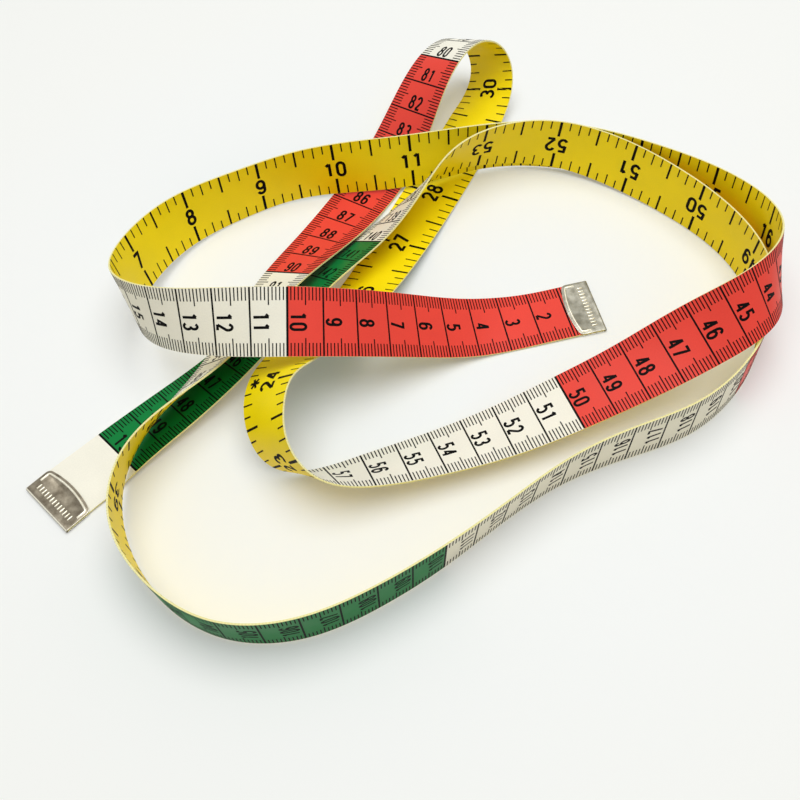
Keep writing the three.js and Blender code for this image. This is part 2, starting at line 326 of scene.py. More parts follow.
def flat_layer(name, below, above, narrower=0.0):
    """A flat strip between two heights, drawn in by this much at both edges."""
    deselect()
    bpy.ops.mesh.primitive_grid_add(x_subdivisions=STEPS_ALONG, y_subdivisions=STEPS_ACROSS, size=1)
    obj = named(name)
    bpy.ops.object.mode_set(mode="EDIT")
    size = (TAPE_LENGTH - PLATE_THICK, TAPE_WIDTH - 2 * narrower, 1)
    bpy.ops.transform.resize(value=size)
    bpy.ops.transform.translate(value=(TAPE_LENGTH / 2, 0, below))
    bpy.ops.object.mode_set(mode="OBJECT")
    add_modifier(obj, "SOLIDIFY", thickness=above - below, offset=1)
    add_modifier(obj, "BEVEL", width=WORN_EDGE, segments=1, limit_method="ANGLE",
                 angle_limit=math.radians(60))
    return obj


def keep_places(obj):
    """Writes the flat x and y of each corner into the UV map, before the piece is laid."""
    flat = points_of(obj)
    while obj.data.uv_layers:
        obj.data.uv_layers.remove(obj.data.uv_layers[0])
    layer = obj.data.uv_layers.new(name="TapeUV")
    corners = np.empty(len(obj.data.loops), int)
    obj.data.loops.foreach_get("vertex_index", corners)
    layer.uv.foreach_set("vector", flat[corners, :2].astype(np.float32).ravel())


def mark_sides(obj):
    """Faces that look along the table in the flat strip go to the second material slot."""
    for face in obj.data.polygons:
        face.material_index = 0 if abs(face.normal.z) > 0.9 else 1


def lay(obj):
    put_points(obj, laid(points_of(obj)))
    return smooth(obj)


front_film = flat_layer("printed_front_film", CORE / 2, CORE / 2 + FILM, FILM_INSET)
core = flat_layer("woven_core", -CORE / 2, CORE / 2)
back_film = flat_layer("printed_back_film", -CORE / 2 - FILM, -CORE / 2, FILM_INSET)
for layer in (front_film, core, back_film):
    keep_places(layer)
    mark_sides(layer)
    lay(layer)
    print(layer.name, count(layer), "triangles")

# %% [markdown]
# The print is a thin layer of ink, raised a few hundredths of a millimetre. Lines and ticks are copies
# of one small block. It is modelled once from a cube, and each copy gets its own length, width and
# place.

# %% The block for lines and ticks
INK_SUNK = 0.03 * MM
INK_PROUD = 0.025 * MM
INK_MARGIN = 0.12 * MM

deselect()
bpy.ops.mesh.primitive_cube_add(size=1)
block = named("ink_block")
bpy.ops.object.mode_set(mode="EDIT")
bpy.ops.mesh.select_all(action="SELECT")
bpy.ops.transform.translate(value=(0, 0, 0.5))
bpy.ops.transform.resize(value=(1, 1, INK_SUNK + INK_PROUD), center_override=(0, 0, 0))
bpy.ops.object.mode_set(mode="OBJECT")
BLOCK_POINTS = points_of(block)
BLOCK_FACES = [tuple(face.vertices) for face in block.data.polygons]
bpy.data.objects.remove(block)
print("the block has", len(BLOCK_FACES), "faces")


def bar(width, low, high):
    """A block of this width along the tape, from one place across to another, round the mark zero."""
    return BLOCK_POINTS * (width, high - low, 1) + (0, (low + high) / 2, 0), BLOCK_FACES


def both_edges(width, length):
    """Two equal ticks, one from each edge of the tape, where the ink stops just before the cut."""
    edge = TAPE_WIDTH / 2 - INK_MARGIN
    return [bar(width, -edge, -edge + length), bar(width, edge - length, edge)]


# %% [markdown]
# Numerals are drawn as a sign writer draws them, with a broad pen: each is one or two strokes inside a
# unit square, straight or along an arc, and the pen's width makes the weight. So one set of strokes
# gives both the narrow light figures of the centimetres and the bold ones of the inches.

# %% The strokes of the numerals
def arc(x, y, wide, high, start, stop, steps=9):
    """Points on an arc, in degrees counted against the clock from the right."""
    turns = np.radians(np.linspace(start, stop, steps + 1))
    return [(x + wide * math.cos(a), y + high * math.sin(a)) for a in turns]


def ring(x, y, wide, high):
    return arc(x, y, wide, high, 90, 450, 16)


STROKES = {
    "0": [arc(0.5, 0.74, 0.5, 0.26, 0, 180, 8) + arc(0.5, 0.26, 0.5, 0.26, 180, 360, 8) + [(1, 0.74)]],
    "1": [[(0.6, 0), (0.6, 1)], [(0.12, 0.8), (0.56, 0.97)]],
    "2": [arc(0.5, 0.72, 0.5, 0.28, 165, -30, 10) + [(0.04, 0.02)], [(0, 0), (1, 0)]],
    "3": [arc(0.47, 0.745, 0.46, 0.255, 150, -90, 10), arc(0.46, 0.27, 0.54, 0.27, 90, -155, 11)],
    "4": [[(0.76, 0), (0.76, 1)], [(0.72, 0.98), (0.0, 0.27), (1.02, 0.27)]],
    "5": [[(0.92, 1), (0.14, 1), (0.07, 0.5)], arc(0.46, 0.31, 0.54, 0.31, 135, -150, 12)],
    "6": [arc(0.5, 0.72, 0.48, 0.28, 20, 180, 7) + [(0.02, 0.3)], ring(0.5, 0.3, 0.5, 0.3)],
    "7": [[(0, 1), (1, 1), (0.36, 0)]],
    "8": [ring(0.5, 0.765, 0.43, 0.235), ring(0.5, 0.27, 0.5, 0.27)],
}
STROKES["9"] = [[(1 - x, 1 - y) for x, y in line] for line in STROKES["6"]]
print("numerals drawn:", " ".join(STROKES))

# %% [markdown]
# A pen stroke becomes a closed ribbon: its line is cut into short steps, so that it can follow the
# bends of the tape, and each point is moved half the pen's width to both sides. Where the line turns,
# the sides are mitred. The second stroke of a numeral stands a few thousandths of a millimetre higher
# than the first, so that no two faces coincide.

# %% A stroke as a ribbon
PEN_STEP = 0.9 * MM
NEXT_STROKE = 0.004 * MM
MOST_MITRE = 1.35


def short_steps(line):
    """The line with points added, so that no step is longer than the pen's step."""
    points = [np.array(line[0])]
    for end in line[1:]:
        start = points[-1]
        steps = max(1, math.ceil(np.linalg.norm(np.subtract(end, start)) / PEN_STEP - 1e-6))
        points += [start + (np.array(end) - start) * k / steps for k in range(1, steps + 1)]
    return np.array(points)


def ribbon(line, width, lift):
    """Points and faces of a closed stroke of the pen along a flat line."""
    closed = np.linalg.norm(line[0] - line[-1]) < 1e-9
    if closed:
        line = line[:-1]
    step = np.roll(line, -1, axis=0) - line
    step = unit(step if closed else np.vstack([step[:-1], step[-2:-1]]))
    before = np.roll(step, 1, axis=0)
    if not closed:
        before[0] = step[0]
    bisector = unit(step + before)
    mitre = np.minimum(1 / np.maximum(np.sum(bisector * step, axis=1), 0.1), MOST_MITRE)[:, None]
    side = np.stack([-bisector[:, 1], bisector[:, 0]], axis=1) * mitre * width / 2
    n = len(line)
    low, high = np.zeros((n, 1)), np.full((n, 1), INK_SUNK + INK_PROUD + lift)
    points = np.vstack([np.hstack([line + side, high]), np.hstack([line - side, high]),
                        np.hstack([line + side, low]), np.hstack([line - side, low])])
    faces = []
    for i in range(n if closed else n - 1):
        j = (i + 1) % n
        faces.append((i, i + n, j + n, j))
        faces.append((i + 2 * n, j + 2 * n, j + 3 * n, i + 3 * n))
        faces.append((i, j, j + 2 * n, i + 2 * n))
        faces.append((i + n, i + 3 * n, j + 3 * n, j + n))
    if not closed:
        faces.append((0, 2 * n, 3 * n, n))
        faces.append((n - 1, 2 * n - 1, 4 * n - 1, 3 * n - 1))
    return points, faces


def numeral(text, wide, high, pen, gap):
    """The strokes of a number, centred on zero across and standing on the line y = 0."""
    start = -(len(text) * wide + (len(text) - 1) * gap) / 2
    made = []
    for k, figure in enumerate(text):
        left = start + k * (wide + gap)
        for order, line in enumerate(STROKES[figure]):
            placed = np.array(line) * (wide - pen, high - pen) + (left + pen / 2, pen / 2)
            made.append(ribbon(short_steps(placed), pen, order * NEXT_STROKE))
    return made


five = numeral("5", 2 * MM, 5 * MM, 0.6 * MM, 0)
print("a 5 has", [len(faces) for points, faces in five], "faces in its strokes")

# %% [markdown]
# A print gathers its shapes in one mesh. On the front the figures stand with their feet on the line
# they belong to and read across the tape. On the back they read along it. Both ways are pure turns, so
# nothing comes out mirrored.

# %% Putting a print together
def on_front(shape, mark):
    """Turned so that its up is back towards zero and it reads from the first edge to the second."""
    points, faces = shape
    base = CORE / 2 + FILM - INK_SUNK
    return np.stack([mark - points[:, 1], points[:, 0], base + points[:, 2]], axis=1), faces


def on_back(shape, mark):
    """Turned so that its up is towards the first edge and it reads along the tape, seen from behind."""
    points, faces = shape
    base = -(CORE / 2 + FILM - INK_SUNK)
    return np.stack([mark + points[:, 0], -points[:, 1], base - points[:, 2]], axis=1), faces


def turned(shape):
    """A line or tick of the block, which runs across already, made ready for on_front."""
    points, faces = shape
    return np.stack([points[:, 1], -points[:, 0], points[:, 2]], axis=1), faces


def print_piece(name, shapes):
    points, faces, total = [], [], 0
    for some, their_faces in shapes:
        points.append(some)
        faces += [tuple(total + v for v in face) for face in their_faces]
        total += len(some)
    mesh = bpy.data.meshes.new(name)
    mesh.from_pydata(np.vstack(points).tolist(), [], faces)
    obj = bpy.data.objects.new(name, mesh)
    bpy.context.scene.collection.objects.link(obj)
    keep_places(obj)
    return lay(obj)


# %% [markdown]
# The centimetre side: a tick for each millimetre at both edges, a longer one at each five, a line right
# across at each centimetre and a heavier one at each ten. The number stands just before its line. After
# 150 the tape is blank.

# %% The centimetre print
TEN_LINE = 0.62 * MM
CM_LINE = 0.5 * MM
FIVE_TICK = (0.34 * MM, 4.9 * MM)
MM_TICK = (0.32 * MM, 3.6 * MM)
CM_FIGURES = {"wide": 2.32 * MM, "high": 4.9 * MM, "pen": 0.75 * MM, "gap": 0.5 * MM}
CM_FEET = 0.55 * MM

shapes = []
for mm in range(1, 1501):
    mark = mm * MM
    if mm % 100 == 0:
        ticks = both_edges(TEN_LINE, TAPE_WIDTH / 2)
    elif mm % 10 == 0:
        ticks = both_edges(CM_LINE, TAPE_WIDTH / 2)
    elif mm % 5 == 0:
        ticks = both_edges(*FIVE_TICK)
    else:
        ticks = both_edges(*MM_TICK)
    shapes += [on_front(turned(tick), mark) for tick in ticks]
for cm in range(1, 151):
    figures = numeral(str(cm), **CM_FIGURES)
    shapes += [on_front(shape, cm * 10 * MM - CM_FEET) for shape in figures]
centimetre_print = print_piece("centimetre_print", shapes)
print("centimetre print", count(centimetre_print), "triangles")

# %% [markdown]
# The inch side: ticks for eighths, quarters and halves at both edges, and two short heavy bars at each
# inch with the number between them. At two feet a star of three crossing strokes takes the place of the
# upper bar.

# %% The inch print
INCH = 25.4 * MM
INCH_BAR = (0.9 * MM, 5.8 * MM)
HALF_TICK = (0.65 * MM, 5.8 * MM)
QUARTER_TICK = (0.42 * MM, 4 * MM)
EIGHTH_TICK = (0.42 * MM, 3 * MM)
INCH_FIGURES = {"wide": 3.4 * MM, "high": 5.8 * MM, "pen": 1 * MM, "gap": 0.6 * MM}
STAR_INCH = 24
STAR = {"wide": 3.6 * MM, "pen": 0.8 * MM, "place": 6 * MM}


def star(wide, pen, place):
    """Three strokes that cross in the middle, this far across from the middle of the tape."""
    made = []
    for k in range(3):
        turn = math.radians(90 + 60 * k)
        end = np.array([math.cos(turn), math.sin(turn)]) * wide / 2
        line = short_steps([(0, place) - end, (0, place) + end])
        made.append(ribbon(line, pen, k * NEXT_STROKE))
    return made


shapes = []
for eighth in range(1, 8 * 60 - 2):
    mark = eighth * INCH / 8
    if eighth == STAR_INCH * 8:
        ticks = both_edges(*INCH_BAR)[:1] + star(**STAR)
    elif eighth % 8 == 0:
        ticks = both_edges(*INCH_BAR)
    elif eighth % 4 == 0:
        ticks = both_edges(*HALF_TICK)
    elif eighth % 2 == 0:
        ticks = both_edges(*QUARTER_TICK)
    else:
        ticks = both_edges(*EIGHTH_TICK)
    shapes += [on_back(tick, mark) for tick in ticks]
for inch in range(1, 60):
    for points, faces in numeral(str(inch), **INCH_FIGURES):
        centred = points - (0, INCH_FIGURES["high"] / 2, 0)
        shapes.append(on_back((centred, faces), inch * INCH))
inch_print = print_piece("inch_print", shapes)
print("inch print", count(inch_print), "triangles")

# %% [markdown]
# The end plates are sheet metal, cut out, embossed, folded over the end of the tape and crimped. The
# blank is cut from a disc: the plate's inner edge is a piece of the disc's rim, and three straight cuts
# make the other sides. An inset gives the border, a second inset the rim, which is raised, and the fold
# is spun from the outer edge.

# %% Cut and emboss one leaf
PLATE_WIDTH = TAPE_WIDTH + 0.2 * MM
DISC_CORNERS = 132
PLATE_SIDE = 8.3 * MM
PLATE_MIDDLE = 9.7 * MM
LEAF = 0.3 * MM
HALF = PLATE_WIDTH / 2
BULGE = PLATE_MIDDLE - PLATE_SIDE
DISC = (HALF ** 2 + BULGE ** 2) / (2 * BULGE)
FOLD = PLATE_THICK / 2

deselect()
centre = (PLATE_MIDDLE - DISC, 0, 0)
bpy.ops.mesh.primitive_circle_add(vertices=DISC_CORNERS, radius=DISC, fill_type="NGON", location=centre)
leaf = set_down(named("plate_leaf"))
bpy.ops.object.mode_set(mode="EDIT")
cuts = (((FOLD, 0, 0), (-1, 0, 0)), ((0, HALF, 0), (0, 1, 0)), ((0, -HALF, 0), (0, -1, 0)))
for place, normal in cuts:
    bpy.ops.mesh.select_all(action="SELECT")
    bpy.ops.mesh.bisect(plane_co=place, plane_no=normal, clear_outer=True, threshold=1e-7)
bpy.ops.object.mode_set(mode="OBJECT")
print("blank:", [round(d / MM, 2) for d in leaf.dimensions], "mm,", len(leaf.data.vertices), "corners")

# %% [markdown]
# The two far corners of the blank are rounded. One flat copy is kept for the plain leaf under the tape,
# and the first is embossed: two insets draw a narrow band inside its outline, a cut across parts it,
# and the part by the tape is raised as a bead in the form of a horseshoe.

# %% Emboss the upper leaf
PANEL_EDGE = 4.6 * MM
BEAD = 0.5 * MM
BEAD_HIGH = 0.2 * MM
BEAD_ROUND = (0.1 * MM, 0.08 * MM)
BEAD_RISE_SHARES = (0.55, 0.32, 0.13)
BORDER = 0.75 * MM
CORNER = 1.25 * MM
CORNER_CLEAR = 1.6 * MM
SPOT = 0.01 * MM


def pick(obj, kind, chosen):
    """Selects, in edit mode, the vertices, edges or faces of the mesh for which chosen is true."""
    bpy.ops.object.mode_set(mode="EDIT")
    bpy.context.tool_settings.mesh_select_mode = tuple(kind == k for k in ("verts", "edges", "faces"))
    bpy.ops.mesh.select_all(action="DESELECT")
    mesh = bmesh.from_edit_mesh(obj.data)
    found = [part for part in getattr(mesh, kind) if chosen(part)]
    for part in found:
        part.select_set(True)
    mesh.select_flush_mode()
    bmesh.update_edit_mesh(obj.data)
    return len(found)


def from_corner(vertex):
    """How far this vertex lies from the nearer far corner of the blank."""
    return math.hypot(vertex.co.x - PLATE_SIDE, abs(vertex.co.y) - HALF)


take(leaf)
pick(leaf, "verts", lambda v: SPOT < from_corner(v) < CORNER_CLEAR)
bpy.ops.mesh.dissolve_verts()
corners = pick(leaf, "verts", lambda v: from_corner(v) < SPOT)
bpy.ops.mesh.bevel(offset=CORNER, segments=6, affect="VERTICES")
bpy.ops.object.mode_set(mode="OBJECT")
deselect()
lower = leaf.copy()
lower.data = leaf.data.copy()
lower.name = "plate_lower_leaf"
bpy.context.scene.collection.objects.link(lower)


def in_the_bead(face):
    """True for the faces of the narrow band inside the outline, past the cut."""
    x, y = face.calc_center_median()[:2]
    inset = min(HALF - abs(y), DISC - math.hypot(x - (PLATE_MIDDLE - DISC), y))
    return x > PANEL_EDGE and BORDER < inset < BORDER + BEAD


take(leaf)
pick(leaf, "faces", lambda f: True)
bpy.ops.mesh.inset(thickness=BORDER, depth=0)
bpy.ops.mesh.inset(thickness=BEAD, depth=0)
bpy.ops.mesh.select_all(action="SELECT")
bpy.ops.mesh.bisect(plane_co=(PANEL_EDGE, 0, 0), plane_no=(1, 0, 0), threshold=1e-7)
band = pick(leaf, "faces", in_the_bead)
rises = [BEAD_HIGH * share for share in BEAD_RISE_SHARES]
bpy.ops.mesh.extrude_region_move(TRANSFORM_OT_translate={"value": (0, 0, rises[0])})
for thickness, rise in zip(BEAD_ROUND, rises[1:]):
    bpy.ops.mesh.inset(thickness=thickness, depth=rise)
bpy.ops.object.mode_set(mode="OBJECT")
print(corners, "corners rounded,", band, "faces raised,", len(leaf.data.polygons), "faces in the leaf")

# %% [markdown]
# Each leaf gets its thickness from its outline: the edges all round are drawn down and the loop is
# filled. The two leaves lie over each other with room for the tape between them. Their facing end walls
# are taken off, and the open end of the upper one is spun half a turn round the fold, until it meets
# the lower one.

# %% Thicken and fold the plate
FOLD_STEPS = 12
WELD = 0.002 * MM


def thicken(obj, top):
    take(obj)
    pick(obj, "edges", lambda e: e.is_boundary)
    bpy.ops.mesh.extrude_region_move(TRANSFORM_OT_translate={"value": (0, 0, -LEAF)})
    bpy.ops.mesh.edge_face_add()
    bpy.ops.mesh.select_all(action="SELECT")
    bpy.ops.mesh.normals_make_consistent(inside=False)
    bpy.ops.transform.translate(value=(0, 0, top))
    ends = pick(obj, "faces", lambda f: all(abs(v.co.x - FOLD) < 1e-6 for v in f.verts))
    bpy.ops.mesh.delete(type="ONLY_FACE")
    bpy.ops.object.mode_set(mode="OBJECT")
    return ends


walls = thicken(leaf, PLATE_THICK / 2) + thicken(lower, LEAF - PLATE_THICK / 2)
take(leaf)
lower.select_set(True)
bpy.ops.object.join()
pick(leaf, "edges", lambda e: e.is_boundary and all(v.co.z > 0 for v in e.verts))
bpy.ops.mesh.spin(steps=FOLD_STEPS, angle=math.pi, center=(FOLD, 0, 0), axis=(0, 1, 0))
bpy.ops.mesh.select_all(action="SELECT")
bpy.ops.mesh.remove_doubles(threshold=WELD)
bpy.ops.mesh.normals_make_consistent(inside=False)
bpy.ops.object.mode_set(mode="OBJECT")
open_edges = pick(leaf, "edges", lambda e: not e.is_manifold)
bpy.ops.object.mode_set(mode="OBJECT")
print(walls, "end walls taken off,", open_edges, "open edges left")
print("plate:", [round(d / MM, 2) for d in leaf.dimensions], "mm")

# %% [markdown]
# A row of small plain ribs stands on the lower panel, where such plates carry their embossing. One rib
# is a cube with its top drawn in and its edges bevelled. Array repeats it across the plate. Then a fine
# bevel takes the bite off every edge of the sheet, as tumbling does. What stands proud and the sloped
# faces of the bevels go to a second material slot, a lighter metal: partly rubbed bright by handling,
# partly a painted highlight where those edges catch the light. The plate is copied to both ends of the
# tape. The one at the far end gets the lighter metal along the shoulder of its fold as well, again
# partly rubbed and partly a painted highlight.

# %% Ribs, rubbed edges with a painted highlight, and two copies
RIBS = 13
RIB_STEP = 1.2 * MM
RIB_SIZE = (2 * MM, 0.55 * MM, 0.28 * MM)
RIB_PLACE = 3.2 * MM
RIB_RAISED = 0.04 * MM
RIB_TOP_SHARES = (0.82, 0.5)
RIB_BEVEL = 0.06 * MM
SHEET_BEVEL = 0.08 * MM
PROUD = 0.05 * MM

deselect()
bpy.ops.mesh.primitive_cube_add(size=1)
rib = named("plate_rib")
bpy.ops.object.mode_set(mode="EDIT")
bpy.ops.mesh.select_all(action="SELECT")
bpy.ops.transform.resize(value=RIB_SIZE)
place = (RIB_PLACE, -RIB_STEP * (RIBS - 1) / 2, PLATE_THICK / 2 + RIB_RAISED)
bpy.ops.transform.translate(value=place)
pick(rib, "faces", lambda f: f.normal.z > 0.9)
bpy.ops.transform.resize(value=(*RIB_TOP_SHARES, 1), center_override=place)
pick(rib, "edges", lambda e: all(v.co.z > place[2] for v in e.verts))
bpy.ops.mesh.bevel(offset=RIB_BEVEL, segments=2, affect="EDGES")
bpy.ops.object.mode_set(mode="OBJECT")
add_modifier(rib, "ARRAY", count=RIBS, use_relative_offset=False, use_constant_offset=True,
             constant_offset_displace=(0, RIB_STEP, 0))
add_modifier(leaf, "BEVEL", width=SHEET_BEVEL, segments=2, limit_method="ANGLE",
             angle_limit=math.radians(50))
take(leaf)
rib.select_set(True)
bpy.ops.object.join()
# Raised and sloped bevel faces take the lighter metal: rubbed wear and a painted highlight in one.
rubbed_and_highlit = 0
for face in leaf.data.polygons:
    raised = face.center.z > PLATE_THICK / 2 + PROUD
    rounded = 0.3 < face.normal.z < 0.95 and face.center.x > FOLD + PROUD
    face.material_index = int(raised or rounded)
    rubbed_and_highlit += face.material_index
print(rubbed_and_highlit, "worn faces")


def plate_at(name, start, flip):
    """A copy of the plate with its outer edge at this mark, facing back along the tape if flip is -1."""
    obj = leaf.copy()
    obj.data = leaf.data.copy()
    obj.name = obj.data.name = name
    bpy.context.scene.collection.objects.link(obj)
    # The end plate's fold shoulder takes the lighter metal too: rubbed wear and a painted highlight.
    for face in obj.data.polygons:
        shoulder = 0.5 < face.normal.z < 0.97 and face.center.x < FOLD
        if shoulder and flip < 0:
            face.material_index = 1
    put_points(obj, laid(points_of(obj) * (flip, flip, 1) + (start, 0, 0)))
    return smooth(obj, 40)


start_plate = plate_at("start_plate", 0, 1)
end_plate = plate_at("end_plate", TAPE_LENGTH, -1)
bpy.data.objects.remove(leaf)
print("a plate has", count(start_plate), "triangles")

# %% [markdown]
# Materials. The print and the dye follow the tape's own UV map, in metres. The films are soft vinyl:
# satin, with the weave of the core showing through as a very faint relief, and a little unevenness in
# the colour.

# %% Helpers for materials
def material(name, roughness, metallic=0.0):
    made = bpy.data.materials.new(name)
    made.use_nodes = True
    shader = made.node_tree.nodes["Principled BSDF"]
    shader.inputs["Roughness"].default_value = roughness
    shader.inputs["Metallic"].default_value = metallic
    return made, made.node_tree, shader


def node(tree, kind, inputs=None, **settings):
    """A new node with its settings, and its inputs set to a number or linked to a socket."""
    made = tree.nodes.new(kind)
    for key, value in settings.items():
        setattr(made, key, value)
    for key, value in (inputs or {}).items():
        if isinstance(value, bpy.types.NodeSocket):
            tree.links.new(value, made.inputs[key])
        else:
            made.inputs[key].default_value = value
    return made


def math_node(tree, operation, a, b=0.0):
    return node(tree, "ShaderNodeMath", {0: a, 1: b}, operation=operation).outputs[0]


def tape_places(tree):
    """The mark and the place across, in metres, as a vector and as two numbers."""
    places = node(tree, "ShaderNodeUVMap", uv_map="TapeUV").outputs["UV"]
    parts = node(tree, "ShaderNodeSeparateXYZ", {0: places})
    return places, parts.outputs["X"], parts.outputs["Y"]


def noise(tree, places, scale, detail=3.0):
    inputs = {"Vector": places, "Scale": scale, "Detail": detail}
    return node(tree, "ShaderNodeTexNoise", inputs).outputs["Fac"]


def between(tree, value, low, high, to_low, to_high):
    """The value mapped from one range to another, and held at its ends."""
    names = ("Value", "From Min", "From Max", "To Min", "To Max")
    inputs = dict(zip(names, (value, low, high, to_low, to_high)))
    return node(tree, "ShaderNodeMapRange", inputs).outputs[0]


def shaded(tree, colour, amount):
    """A colour times a grey amount."""
    mix = node(tree, "ShaderNodeVectorMath", {0: colour, "Scale": amount}, operation="SCALE")
    return mix.outputs[0]


THREAD_PITCH = 0.8 * MM
THREAD_TURNS = 2 * math.pi / THREAD_PITCH
RELIEF = 0.004 * MM
CLOUDS = 60
GRAIN = 2500
NOISE_RANGE = (0.3, 0.7)


def vinyl(name, gloss, darkest):
    """A satin film over the weave, and what its colour needs: tree, shader, mark and shade."""
    made, tree, shader = material(name, 0.42)
    shader.inputs["Specular IOR Level"].default_value = gloss
    places, mark, across = tape_places(tree)
    cloudy = noise(tree, places, CLOUDS)
    fine = noise(tree, places, GRAIN, 2.0)
    grainy = between(tree, fine, *NOISE_RANGE, 0.97, 1.02)
    amount = math_node(tree, "MULTIPLY", between(tree, cloudy, *NOISE_RANGE, darkest, 1.02), grainy)
    tree.links.new(between(tree, cloudy, *NOISE_RANGE, 0.36, 0.5), shader.inputs["Roughness"])
    turns = [math_node(tree, "MULTIPLY", way, THREAD_TURNS) for way in (mark, across)]
    waves = [math_node(tree, "SINE", turn) for turn in turns]
    threads = math_node(tree, "MULTIPLY", waves[0], waves[1])
    height = math_node(tree, "ADD", math_node(tree, "MULTIPLY", threads, 0.5), fine)
    bump = node(tree, "ShaderNodeBump", {"Height": height, "Strength": 1.0, "Distance": RELIEF})
    tree.links.new(bump.outputs[0], shader.inputs["Normal"])
    return made, tree, shader, mark, amount


# %% [markdown]
# The front film is dyed in fields of ten centimetres: red, ivory, green, ivory and round again. A Color
# Ramp with constant steps reads the mark and gives each field its colour. The last stretch, past 150,
# stays ivory.

# %% The printed front film
RED = swatch(238, 74, 61)
IVORY = swatch(248, 245, 229)
GREEN = swatch(0, 124, 56)
FIELD = 100 * MM
FIELDS = 16

front_vinyl, tree, shader, mark, amount = vinyl("front_vinyl", 0.15, 0.955)
ramp = node(tree, "ShaderNodeValToRGB", {"Fac": math_node(tree, "DIVIDE", mark, FIELDS * FIELD)})
ramp.color_ramp.interpolation = "CONSTANT"
ramp.color_ramp.elements[0].color = RED
ramp.color_ramp.elements[1].position = 1 / FIELDS
ramp.color_ramp.elements[1].color = IVORY
for field in range(2, FIELDS):
    colour = (RED, IVORY, GREEN, IVORY)[field % 4]
    ramp.color_ramp.elements.new(field / FIELDS).color = colour
tree.links.new(shaded(tree, ramp.outputs["Color"], amount), shader.inputs["Base Color"])
print("fields:", len(ramp.color_ramp.elements))

# %% [markdown]
# The back film is yellow all along, a little deeper where the dye has gathered. The cut sides of the
# films and the woven core are pale and matt, with the ends of the crossing threads as short darker
# dots.

# %% The yellow back film and the cut edge
YELLOW = swatch(255, 231, 8)
BODY = swatch(245, 238, 170)

back_vinyl, tree, shader, mark, amount = vinyl("back_vinyl", 0.25, 0.94)
tree.links.new(shaded(tree, YELLOW[:3], amount), shader.inputs["Base Color"])

cut_edge, tree, shader = material("cut_edge", 0.7)
places, mark, across = tape_places(tree)
fine = noise(tree, places, GRAIN, 2.0)
thread_ends = math_node(tree, "SINE", math_node(tree, "MULTIPLY", mark, THREAD_TURNS))
amount = between(tree, math_node(tree, "ADD", thread_ends, fine), -0.6, 1.6, 0.9, 1.02)
tree.links.new(shaded(tree, BODY[:3], amount), shader.inputs["Base Color"])
tree.links.new(between(tree, fine, *NOISE_RANGE, 0.6, 0.8), shader.inputs["Roughness"])
print("cut edge made")

# %% [markdown]
# The ink is nearly black and a little duller than the film. Where it was printed thin, it is a shade
# lighter.

# %% The ink
INK = swatch(10, 9, 9)

black_ink, tree, shader = material("black_ink", 0.5)
shader.inputs["Specular IOR Level"].default_value = 0.05
places, mark, across = tape_places(tree)
thin = noise(tree, places, 900, 3.0)
tone = shaded(tree, INK[:3], between(tree, thin, 0.3, 0.75, 0.5, 1.8))
tree.links.new(tone, shader.inputs["Base Color"])
tree.links.new(between(tree, thin, *NOISE_RANGE, 0.42, 0.6), shader.inputs["Roughness"])
print("ink made")

# %% [markdown]
# The plates are tinned sheet, gone dull with handling: a warm grey metal with brownish clouds of
# patina, smoother where the cloud is thin, and a fine hammered grain in the relief. The end plate's
# metal is darker than the start plate's. The raised and bevelled places are the same metal in much
# lighter, smoother tones: partly rubbed bright, partly a painted highlight.

# %% The plate metal
PATINA = 520
HAMMERED = 5000
METAL_RELIEF = 0.03 * MM


def sheet_metal(name, dark, light, dull, bright):
    """A clouded metal between two tones, and between two roughnesses."""
    made, tree, shader = material(name, dull, metallic=1.0)
    places = node(tree, "ShaderNodeTexCoord").outputs["Object"]
    patina = noise(tree, places, PATINA, 5.0)
    grain = noise(tree, places, HAMMERED, 2.0)
    tone = node(tree, "ShaderNodeValToRGB", {"Fac": patina})
    tone.color_ramp.elements[0].position = 0.32
    tone.color_ramp.elements[0].color = dark
    tone.color_ramp.elements[1].position = 0.68
    tone.color_ramp.elements[1].color = light
    tree.links.new(tone.outputs["Color"], shader.inputs["Base Color"])
    tree.links.new(between(tree, patina, *NOISE_RANGE, dull, bright), shader.inputs["Roughness"])
    relief = math_node(tree, "ADD", patina, math_node(tree, "MULTIPLY", grain, 0.35))
    inputs = {"Height": relief, "Strength": 1.0, "Distance": METAL_RELIEF}
    bump = node(tree, "ShaderNodeBump", inputs)
    tree.links.new(bump.outputs[0], shader.inputs["Normal"])
    return made


plate_metal = sheet_metal("plate_metal", swatch(126, 123, 111), swatch(168, 165, 153), 0.5, 0.4)
# The end plate's metal is darker than the start plate's.
darker_metal = sheet_metal("darker_metal", swatch(98, 90, 77), swatch(140, 132, 117), 0.5, 0.4)
# Lighter metal for raised and bevelled faces: partly rubbed bright, partly a painted highlight.
rubbed_and_highlight_metal = sheet_metal("rubbed_and_highlight_metal", swatch(214, 208, 190), swatch(238, 234, 220), 0.34, 0.24)
print("metal made")

# %% [markdown]
# Each piece gets its materials, rides on the one body of the frame and takes the place of its CAD node,
# which is hidden. The tape is a strip of cloth cut to 19 mm by 1524 mm.

# %% Materials and places in the frame
def dress(obj, slot, *materials):
    for one in materials:
        obj.data.materials.append(one)
    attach(obj, "root")


dress(front_film, "front_film", front_vinyl, cut_edge)
dress(back_film, "back_film", back_vinyl, cut_edge)
dress(core, "core", cut_edge, cut_edge)
dress(centimetre_print, "front_film", black_ink)
dress(inch_print, "back_film", black_ink)
dress(start_plate, "plate", plate_metal, rubbed_and_highlight_metal)
dress(end_plate, "plate", darker_metal, rubbed_and_highlight_metal)

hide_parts("tape_front_film")
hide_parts("tape_back_film")
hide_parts("glass_fibre_core")
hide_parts("start_clip")
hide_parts("end_clip")

